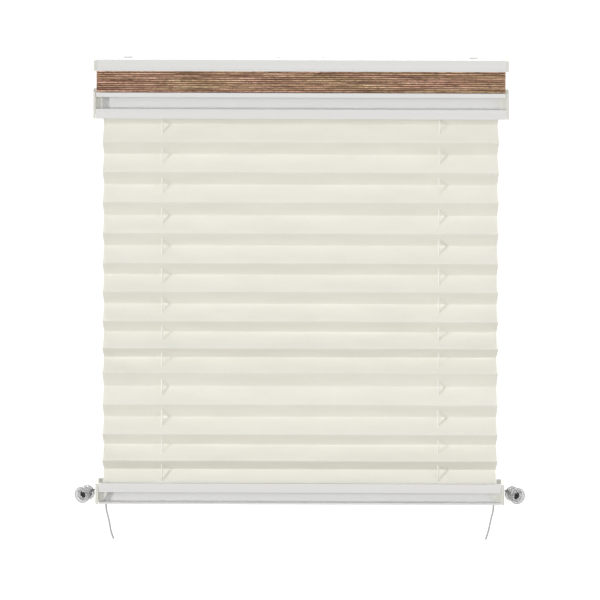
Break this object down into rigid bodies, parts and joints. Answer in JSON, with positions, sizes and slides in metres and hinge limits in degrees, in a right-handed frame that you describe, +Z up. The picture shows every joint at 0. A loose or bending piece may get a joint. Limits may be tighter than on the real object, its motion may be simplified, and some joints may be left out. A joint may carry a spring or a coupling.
{
  "type": "pleated blind",
  "caption": "Day and night pleated window blind: head rail, folded brown fabric, sliding middle rail, open cream pleats, bottom rail, cord tails and screw-on cord spools.",
  "frame": {"origin": "middle of the head rail's top face, which is also the middle of its two slotted screw holes", "axes": "+X along the rails to the viewer's right, -Y to the room (front), +Z up"},
  "size_m": [0.6024, 0.0394, 0.6613],
  "materials": {
    "rail_white": "white powder coat, satin",
    "cap_plastic": "warm white moulded plastic",
    "strip_plastic": "natural extruded plastic",
    "brown_weave": "coarse woven, streaked tan, brown, mauve and olive",
    "cream_fabric": "smooth pressed polyester, matt",
    "cord_braid": "fine braid",
    "eyelet_plastic": "moulded eyelet",
    "spring_steel": "zinc-plated wire",
    "spool_clear": "clear moulded plastic",
    "screw_chrome": "bright plated"
  },
  "bodies": {
    "head": {"head_rail": "rail_white", "head_rail_strip": "strip_plastic", "upper_pleated_fabric": "brown_weave", "head_rail_cap_left": "cap_plastic", "spring_rivet_left": "spring_steel", "tension_spring_left": "spring_steel", "cord_ferrule_left": "spring_steel", "cord_guide_left": "strip_plastic", "upper_cord_left": "cord_braid", "tie_down_spool_left": "spool_clear", "tie_down_screw_left": "screw_chrome", "head_rail_cap_right": "cap_plastic", "spring_rivet_right": "spring_steel", "tension_spring_right": "spring_steel", "cord_ferrule_right": "spring_steel", "cord_guide_right": "strip_plastic", "upper_cord_right": "cord_braid", "tie_down_spool_right": "spool_clear", "tie_down_screw_right": "screw_chrome"},
    "middle": {"middle_rail": "rail_white", "middle_rail_upper_strip": "strip_plastic", "middle_rail_lower_strip": "strip_plastic", "lower_pleated_fabric": "cream_fabric", "middle_rail_cap_left": "cap_plastic", "middle_rail_upper_grommet_left": "eyelet_plastic", "middle_rail_lower_grommet_left": "eyelet_plastic", "lower_cord_left": "cord_braid", "middle_rail_cap_right": "cap_plastic", "middle_rail_upper_grommet_right": "eyelet_plastic", "middle_rail_lower_grommet_right": "eyelet_plastic", "lower_cord_right": "cord_braid"},
    "bottom": {"bottom_rail": "rail_white", "bottom_rail_strip": "strip_plastic", "bottom_rail_cap_left": "cap_plastic", "bottom_rail_grommet_left": "eyelet_plastic", "cord_exit_bush_left": "eyelet_plastic", "bottom_rail_cord_left": "cord_braid", "cord_tail_left": "cord_braid", "bottom_rail_cap_right": "cap_plastic", "bottom_rail_grommet_right": "eyelet_plastic", "cord_exit_bush_right": "eyelet_plastic", "bottom_rail_cord_right": "cord_braid", "cord_tail_right": "cord_braid"}
  },
  "joints": [
    {"name": "middle_rail_slide", "type": "slide", "parent": "head", "child": "middle", "axis": [0, 0, 1], "range_m": [-0.47, 0], "deforming": ["upper_pleated_fabric", "upper_cord_left", "upper_cord_right"]},
    {"name": "bottom_rail_slide", "type": "slide", "parent": "middle", "child": "bottom", "axis": [0, 0, 1], "range_m": [0, 0.47], "deforming": ["lower_pleated_fabric", "lower_cord_left", "lower_cord_right"]}
  ]
}
